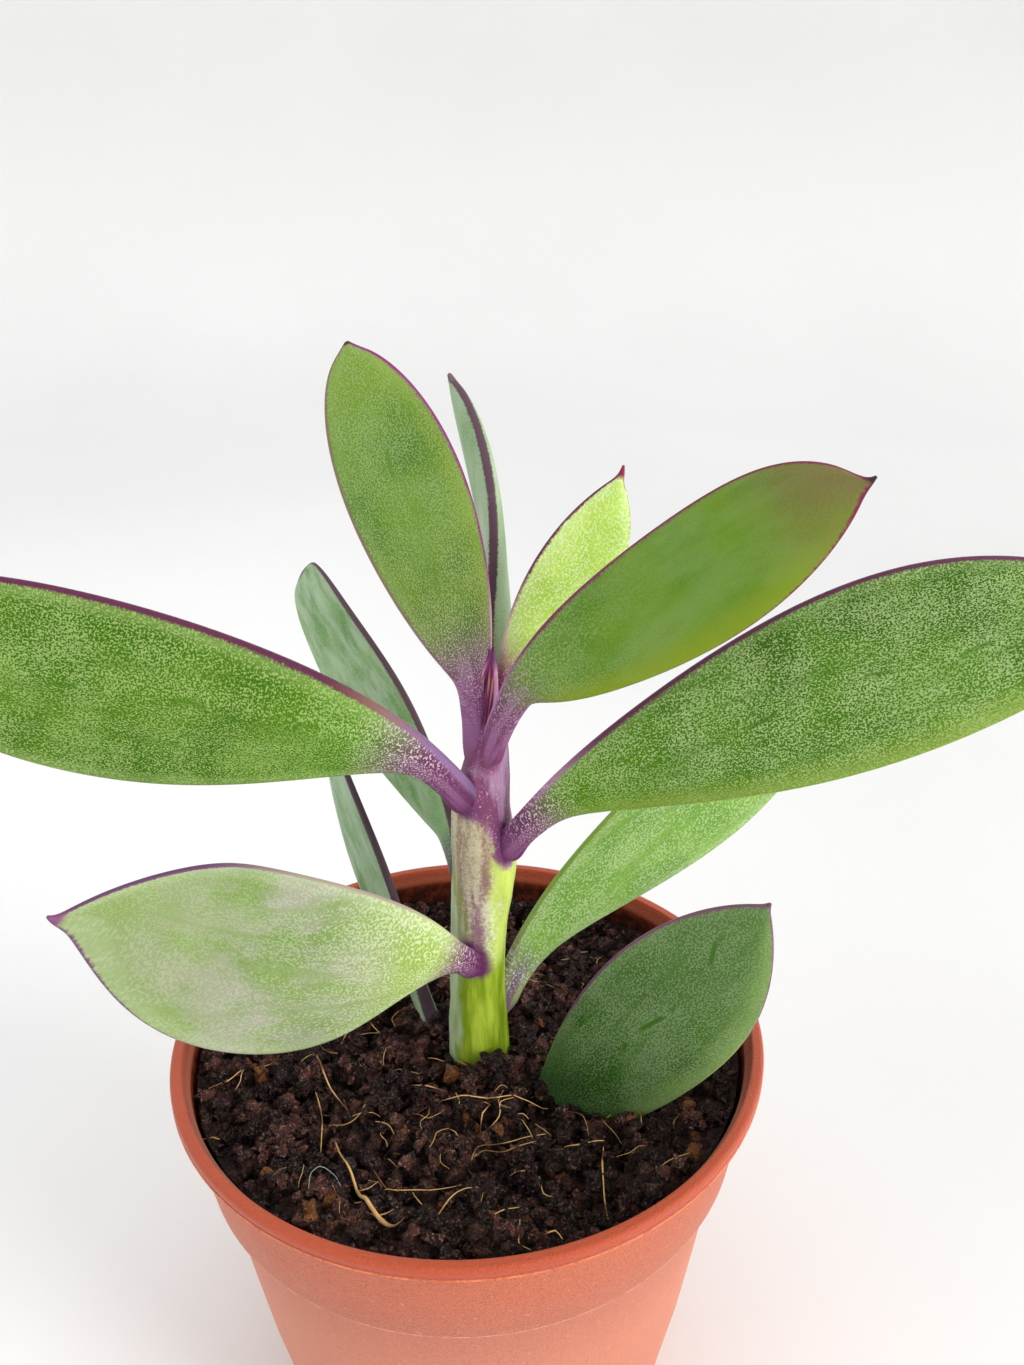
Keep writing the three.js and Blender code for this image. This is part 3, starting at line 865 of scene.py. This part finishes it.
def leaf_finish(
    blade, greens, flecks, amount, margins, margin_widths, stalk, stalk_length, near_flecks=None,
    fleck_size=0.2, streak=0.35, vein=0.7, haze=None, tip=None, tip_length=0, tip_margin=None,
    spine="4a2f40", spine_length=1, glow=None, glow_side=-1, foot_margin="b48aa8", low_foot_margin=None,
    pale_edge=0.2, haze_size=4, near_green=None, stalk_line=None, tip_margin_from=0.55,
    glow_share=0.5, far_flecks=1, vein_paint=0,
):
    """A leaf's skin: green blotches, curly wax flecks, plain streaks, margins, stalk and tip."""
    length = max(spot.vector[0] for spot in blade.data.attributes["leaf_place"].data)
    leaf = Finish(blade.name.replace("leaf", "skin"), 0.46, 0.12, 0.15, 0.8)
    here = leaf.marked("leaf_place", "Vector")
    along, across, gap = leaf.parts(here)
    past_stalk = (along, stalk_length, stalk_length + 22)
    clouds = leaf.mottle(9, 3, 0.55)
    leaf.base(leaf.step(clouds, 0.34, 0.66), *greens)
    # Streaks of plain green run the length of the blade
    lines = leaf.mottle(1, 3, 0.6, at=leaf.stretched(here, (0.045, 0.42, 0)))
    plain = leaf.step(lines, 0.5, 0.66, 0, streak)
    # The midrib shows as a row of dashes that are free of wax
    bend = leaf.stray(across, leaf.mottle(12, 1), -6)
    broken = leaf.step(leaf.mottle(5, 1, at=leaf.stretched(here, (1, 0, 0))), 0.5, 0.55)
    dashes = leaf.both(leaf.step(leaf.both(bend, bend), 0, 0.16, 1, 0), broken)
    plain = leaf.sum("MAXIMUM", plain, leaf.both(dashes, vein))
    if haze:
        patches = leaf.mottle(haze_size, 4, 0.6, at=leaf.stretched(here, (0.4, 1, 0)))
        patches = leaf.step(patches, 0.38, 0.64, 0, 0.75)
        leaf.coat(leaf.both(patches, leaf.step(along, stalk_length, stalk_length + 14)), haze)
    if near_green:
        leaf.coat(leaf.step(*past_stalk, 0.8, 0), near_green)
    uneven = leaf.both(leaf.mottle(4, 3, 0.6), 0.5)
    if tip:
        far = leaf.add(along, leaf.both(uneven, 14))
        leaf.coat(leaf.both(leaf.step(far, length - tip_length, length + 3), 0.85), tip)
    # Flecks of wax are short and curly, drawn out a little along the blade, and close up in places
    curls = leaf.mottle(fleck_size, 0.6, 0.5, 0.6, at=leaf.stretched(here, (0.8, 1, 0)))
    thick = leaf.step(leaf.mottle(6, 3, 0.6), 0.3, 0.7, -0.05, 0.05)
    wax = leaf.step(leaf.add(curls, thick), 0.48, 0.57)
    wax = leaf.both(leaf.both(wax, leaf.less(1, plain)), amount)
    if far_flecks < 1:
        wax = leaf.both(wax, leaf.step(along, length * 0.3, length * 0.7, 1, far_flecks))
    fleck_tone = flecks
    if near_flecks:
        fleck_tone = leaf.blend(leaf.step(*past_stalk, 1, 0), flecks, near_flecks)
    leaf.coat(wax, fleck_tone)
    if vein_paint:
        leaf.coat(leaf.both(dashes, vein_paint), greens[1])
    if haze:
        leaf.coat(leaf.step(lines, 0.55, 0.68, 0, streak * 0.7), greens[1])
    leaf.coat(leaf.step(gap, 0.5, 2.2, pale_edge, 0), fleck_tone)
    # A glow of light through the flesh is painted near one margin
    if glow:
        near = leaf.step(leaf.both(across, glow_side), -1, 6, 0, glow_share)
        leaf.coat(leaf.both(near, leaf.step(gap, 0.5, 4.5, 1, 0)), glow)
    # The stalk's purple runs out into the blade between pale flecks, and is darkest at its foot
    reach = leaf.less(along, leaf.both(curls, stalk_length * 0.8))
    near_foot = leaf.step(reach, stalk_length * 0.3, stalk_length * 0.95, 1, 0)
    purple = leaf.blend(leaf.step(lines, 0.45, 0.6), stalk[0], stalk[1])
    freckles = leaf.step(along, stalk_length * 0.3, stalk_length * 0.8, 0.05, 0.8)
    purple = leaf.blend(leaf.both(leaf.step(curls, 0.54, 0.62), freckles), purple, stalk[2])
    purple = leaf.blend(leaf.step(along, 1.5, 5, 0.8, 0), purple, stalk[3])
    leaf.coat(near_foot, purple)
    # Margins: a purple line on the upper edge and another on the lower one
    raw = leaf.add(gap, leaf.add(leaf.both(uneven, 0.4), leaf.both(curls, 0.25)))
    is_upper = leaf.step(across, -0.2, 0.2)
    foot_edge = leaf.step(along, stalk_length, stalk_length + 12, 1, 0)
    upper_edge = (margins[0], margin_widths[0], is_upper, foot_margin, stalk_line or purple)
    is_lower = leaf.less(1, is_upper)
    lower_edge = (margins[1], margin_widths[1], is_lower, low_foot_margin or foot_margin, purple)
    for colour, width, which, foot_colour, stalk_colour in (upper_edge, lower_edge):
        line = leaf.both(leaf.step(raw, width * 0.75 + 0.2, width * 1.2 + 0.35, 1, 0), which)
        ink = leaf.blend(foot_edge, colour, foot_colour)
        ink = leaf.blend(near_foot, ink, stalk_colour)
        if tip_margin:
            far = leaf.step(along, length * tip_margin_from, length * 0.8)
            ink = leaf.blend(far, ink, tip_margin)
        leaf.coat(line, ink)
    leaf.coat(leaf.step(along, length - 1.9 * spine_length, length - spine_length), spine)
    leaf.link(leaf.step(wax, 0, 1, 0.4, 0.6), "Roughness")
    leaf.relief(leaf.add(leaf.both(wax, 0.35), leaf.both(clouds, 2)), 0.1)
    leaf.cover(blade)


STALK_PAINTS = ("6a3560", "83507a", "dccbcb", "63305a")
CROWN_PAINTS = ("733a64", "92608a", "bd9fb4", "86496f")
blade = grow_blade(
    "left_long_leaf", [(3.1, -2, 103.2), (-8.8, -8, 128), (-43.5, -9, 120.4), (-66.5, -14, 136)],
    (10, 1.73, 0.58, 0.8, 0), (13.3, 0.68, 0.5, 3.4, 0.14), 0.8, 0.5,
)
leaf_finish(
    blade, ("396600", "4a7308"), "98b168", 0.78, ("5c2a46", "a9a878"), (0.32, 0.1),
    STALK_PAINTS, 17, near_flecks="9cbe6c", foot_margin="94705c", pale_edge=0.35,
    near_green="527f08", stalk_line="86668f",
)
melt_into_stem(blade)
attach(blade, "leaf_left_long")
blade = grow_blade(
    "right_long_leaf", [(4, -1.6, 95.8), (12, -9, 117.5), (49.4, -11.5, 119), (78, -16, 136.5)],
    (13.7, 1.98, 0.92, 0.8, 0), (10.1, 0.71, 0.66, 3.1, 0.14), 0.8, -0.5,
)
leaf_finish(
    blade, ("345f00", "477508"), "a2ba7c", 0.8, ("643850", "a9bb62"), (0.45, 0.1),
    STALK_PAINTS, 13, near_flecks="9ab96a", glow="84a032", near_green="568208",
)
melt_into_stem(blade)
attach(blade, "leaf_right_long")


# Low left leaf: a broad pale leaf that comes forward over the rim, thick with silvery wax, with a
# purple margin, a sharp pink point and a short purple stalk. It grew as the long leaves did.
blade = grow_blade(
    "low_left_leaf", [(2.6, -2.4, 78), (-8.8, -14.5, 99), (-28, -22.5, 85.1), (-39.5, -36, 109.5)],
    (12.63, 1.83, 0.84, 1.1, 0), (12.9, 1.22, 1.56, 2.7, 0.06), 0.6, 0.4, point=0.9,
)
leaf_finish(
    blade, ("6d8843", "7d9554"), "bac6a6", 0.6, ("a89c8a", "a9bc70"), (0.1, 0.03),
    STALK_PAINTS, 9.5, near_flecks="e6efc8", tip="7b9150", tip_length=26, fleck_size=0.27, streak=0.5,
    haze="a09b92", haze_size=6, far_flecks=0.35, tip_margin="6b4468", tip_margin_from=0.4, spine="7c4a70",
    foot_margin="c6d698", near_green="a0c04c",
)
melt_into_stem(blade)
attach(blade, "leaf_low_left")


# Upper leaves: the olive leaf to the upper right with a yellowish glow of light painted along its lower side
# and a purple tip, the upright one beside it, and the small bright young leaf between them. All clasp the
# shoot tip.
blade = grow_blade(
    "top_right_leaf", [(3.4, -1.7, 109.5), (5.2, -8.5, 134), (27.7, -18, 133.5), (40.9, -26.4, 150.6)],
    (8.3, 2, 0.56, 1, 0), (7.7, 0.5, 0.87, 2.9, 0.24), 0.5, 0.3, point=1,
)
leaf_finish(
    blade, ("557f22", "66891f"), "8caa66", 0.45, ("7b355a", "76324e"), (0.3, 0.08),
    CROWN_PAINTS, 15, tip="7d6444", tip_length=12, glow="87981c", glow_share=0.65,
    near_flecks="b0c48c", far_flecks=0.2, haze="749244", haze_size=5, tip_margin="772c46",
    spine="3b2c34", spine_length=0.5, foot_margin="7a3f6a", pale_edge=0.05, stalk_line="b08ab4",
)
melt_into_stem(blade)
attach(blade, "leaf_top_right")
blade = grow_blade(
    "top_left_leaf", [(1.6, -0.6, 108), (3, -1, 128.2), (-6.9, -4.5, 150.1), (-10.5, -6, 162.5)],
    (7.06, 1.18, 0.61, 1.4, 0.02), (7.5, 0.73, 0.54, 1.2, 0.22), 0.5, 0.3, point=0.5,
)
leaf_finish(
    blade, ("436819", "5c7c26"), "869f66", 0.62, ("7c2668", "8a6a60"), (0.28, 0.02),
    CROWN_PAINTS, 17, near_flecks="a3a876", tip="6f8c2c", tip_length=9, glow="7f9420", glow_side=1,
    glow_share=0.3, fleck_size=0.17, spine_length=0.2, foot_margin="d3a0bb", low_foot_margin="8a6a70",
)
melt_into_stem(blade)
attach(blade, "leaf_top_left")
blade = grow_blade(
    "top_small_leaf", [(4.9, 0.8, 112.5), (7.5, 1, 129), (18.5, 1, 137.5), (20.4, 1, 146.8)],
    (4.73, 1.28, 0.73, 1.22, 0), (5.78, 1.51, 1.12, 1.2, 0.14), 0.3, 0.2, point=1.3,
)
leaf_finish(
    blade, ("a6ca48", "c1e064"), "e8f4c8", 0.5, ("6e2a50", "9a7a6a"), (0.2, 0.05),
    ("9c4c7c", "b0789c", "d9c0a8", "8c2c6c"), 11, fleck_size=0.24, spine="8c2a4a", foot_margin="d8b0b8",
)
attach(blade, "leaf_top_small")


# Back leaves: four leaves on the far side of the stem, bluer and duller green. Two are seen almost
# edge on, with a broad dark purple margin between two pale sides; the right one is fresh green.
EDGE_STALK = ("4a4a55", "6a6f6a", "a9b5a0", "3c3044")
blade = grow_blade(
    "top_back_leaf", [(3.8, 1.8, 112.5), (7, 9, 129.5), (4.5, 18.5, 144.5), (-1, 26, 156)],
    (6, 0.7, 0.8, 1.3, 0.12), (6, 0.7, 0.8, 1.3, 0.12), 0.3, 0.2, point=1.2, tilt=-9, thickness=1.2, rim=0.3,
)
leaf_finish(
    blade, ("6a9656", "98b08a"), "bccab0", 0.4, ("5c4350", "5c4350"), (0.1, 0.1),
    EDGE_STALK, 8, foot_margin="4d4a46", spine="6a5a5c",
)
attach(blade, "leaf_top_back")
blade = grow_blade(
    "back_right_leaf", [(4, 1.2, 65.5), (7.8, 6.5, 81.5), (34.7, 16, 89.2), (57, 25, 105)],
    (13.76, 1.06, 0.25, 2.6, 0), (8.02, 1.51, 1.03, 2.4, 0.04), 0.6, 0.4, point=0.6,
)
leaf_finish(
    blade, ("6a9838", "80aa46"), "bcd0a0", 0.6, ("88aa44", "a9c46a"), (0.1, 0.1),
    ("7d6278", "99a565", "d6cfd8", "7a5a96"), 10, fleck_size=0.3, streak=0.7, foot_margin="9aa86a",
    spine="8a9a60",
)
attach(blade, "leaf_back_right")
blade = grow_blade(
    "back_left_leaf", [(-0.2, 2, 87), (-2.8, 14, 96), (-17.4, 25, 110.6), (-26.5, 36, 126)],
    (8.4, 0.45, 0.25, 1.6, 0.04), (8.4, 0.5, 0.3, 1.6, 0.18), 0.6, 0.4, thickness=0.75,
)
leaf_finish(
    blade, ("5c8c42", "86aa6e"), "b5c8a6", 0.35, ("644c56", "9cb394"), (0.35, 0.02),
    EDGE_STALK, 8, foot_margin="5c4a52", haze="b4c8ac", spine="7a6a6c", spine_length=0.4,
)
attach(blade, "leaf_back_left")
blade = grow_blade(
    "low_back_left_leaf", [(-1.6, 1.6, 50), (-13, 16, 74), (-19.5, 21, 92), (-23, 27, 104)],
    (5.2, 0.9, 0.6, 1.5, 0.2), (6.4, 0.9, 0.6, 1.8, 0.2), 0.4, 0.3, tilt=-6, thickness=0.8,
)
leaf_finish(
    blade, ("648f50", "8cae7c"), "b5c6ae", 0.35, ("57454e", "6f8a6c"), (0.4, 0.05),
    ("6d8f4d", "7f9f5f", "b7c7a7", "6d8f4d"), 8, foot_margin="4d3c4a", haze="b0c4a8",
)
attach(blade, "leaf_low_back_left")


# Low right leaf: the oldest leaf, dark bottle green under grey speckle, which rises straight out of
# the soil with its stalk buried. A purple margin runs round it and ends in a small point.
blade = grow_blade(
    "low_right_leaf", [(4.2, -2.6, 44), (17.5, -14, 62), (27.5, -14.5, 83), (37, -20, 99.5)],
    (10.01, 1.4, 0.93, 1.93, 0.02), (9.95, 1.71, 0.9, 2.0, 0.0), 0.6, 0.4, point=0.5,
)
leaf_finish(
    blade, ("234a0a", "3a6818"), "869b70", 0.7, ("63405c", "a9b878"), (0.25, 0.12),
    ("223a16", "2c4a20", "56704a", "16240f"), 24, streak=0.3, foot_margin="6c9030", haze="54703f",
    haze_size=5, vein=1, vein_paint=0.6, fleck_size=0.22, tip="557a38", tip_length=34,
    tip_margin="7a5468", tip_margin_from=0.6, glow="8fae5c", glow_share=0.4,
    spine="6f4a60", spine_length=0.35,
)
attach(blade, "leaf_low_right")


# Bud leaf: the next leaf, still folded like a boat between the stalks at the shoot tip, dark magenta
# outside and paler along its rim. It is a small blade, cupped hard so that its hollow faces forward.
blade = grow_blade(
    "folded_bud", [(3.4, -0.7, 111), (3.4, -0.8, 117), (4, -1, 121), (4.4, -1, 125.5)],
    (1.6, 0.6, 0.9, 1, 0.1), (1.6, 0.6, 0.9, 1, 0.1), -1.5, 0, thickness=0.4,
)
sheath = Finish("bud_magenta", 0.42, 0.25)
here = sheath.marked("leaf_place", "Vector")
along, across, gap = sheath.parts(here)
pleats = sheath.mottle(0.38, 2, 0.5, at=sheath.stretched(here, (0.05, 1, 0)))
sheath.base(sheath.step(pleats, 0.4, 0.5), "46103a", "7d2c5c")
sheath.coat(sheath.step(pleats, 0.56, 0.62, 0, 0.9), "c48a72")
sheath.coat(sheath.step(gap, 0.05, 0.2, 0.8, 0), "c78fb0")
sheath.coat(sheath.step(along, 11.5, 13.5), "6a2a60")
sheath.coat(sheath.step(along, 2, 5, 1, 0), "7a3f66")
sheath.relief(pleats, 0.15)
sheath.cover(blade)
attach(blade, "bud_leaf")


# Floor and light: a pale seamless paper sweep that turns up into a wall far off, a broad window light
# in front on the right, a weaker fill on the left, a soft ceiling light and a bright even sky.
SWEEP = [(0, 0), (500, 0), (900, 0), (1200, 40), (1420, 160), (1540, 380), (1580, 700), (1590, 1300)]
SWEEP_STEPS = 64
SKY_COLOUR = (0.96, 0.98, 1, 1)
SKY_STRENGTH = 0.66

sweep = spin_profile(SWEEP, SWEEP_STEPS)
settle(sweep, "studio_sweep")
open_mesh()
bpy.ops.mesh.flip_normals()
bpy.ops.object.mode_set(mode="OBJECT")
work(sweep, "SUBSURF", levels=2, render_levels=2)
bpy.ops.object.shade_smooth()
paper = Finish("pale_paper", 0.9, 0.2)
across, back, up = paper.parts(paper.spot)
# The paper is painted brighter on the left and darker to the front right, evening out the window's light,
# and greyer up the wall as painted shade
shade = paper.both(paper.step(across, -150, 150), paper.step(back, 300, 1000, 1, 0))
paper.base(shade, "fdfdfc", "dddcdc")
paper.coat(paper.step(up, 100, 500), "e8e8e7")
paper.coat(paper.mottle(300, 2, 0.5), "f3f3f2")
paper.cover(sweep)


def hang_light(name, place, aim_at, size, power, colour):
    data = bpy.data.lights.new(name, "AREA")
    data.shape = "DISK"
    data.size = size
    data.energy = power
    data.color = colour
    lamp = bpy.data.objects.new(name, data)
    bpy.context.scene.collection.objects.link(lamp)
    lamp.location = place
    lamp.rotation_euler = (Vector(aim_at) - Vector(place)).to_track_quat("-Z", "Y").to_euler()


hang_light("window", (1.1, -0.62, 0.58), (0, 0, 0.09), 0.7, 14.7, (1, 0.98, 0.95))
hang_light("fill", (-0.9, -0.5, 0.6), (0, 0, 0.09), 0.8, 1.9, (0.95, 0.97, 1))
hang_light("ceiling", (0, 0, 1.1), (0, 0, 0), 0.9, 2.4, (1, 1, 1))
world = bpy.data.worlds.new("even_sky")
world.use_nodes = True
sky = world.node_tree.nodes["Background"]
sky.inputs["Color"].default_value = SKY_COLOUR
sky.inputs["Strength"].default_value = SKY_STRENGTH
bpy.context.scene.world = world
bpy.context.scene.view_settings.view_transform = "Standard"
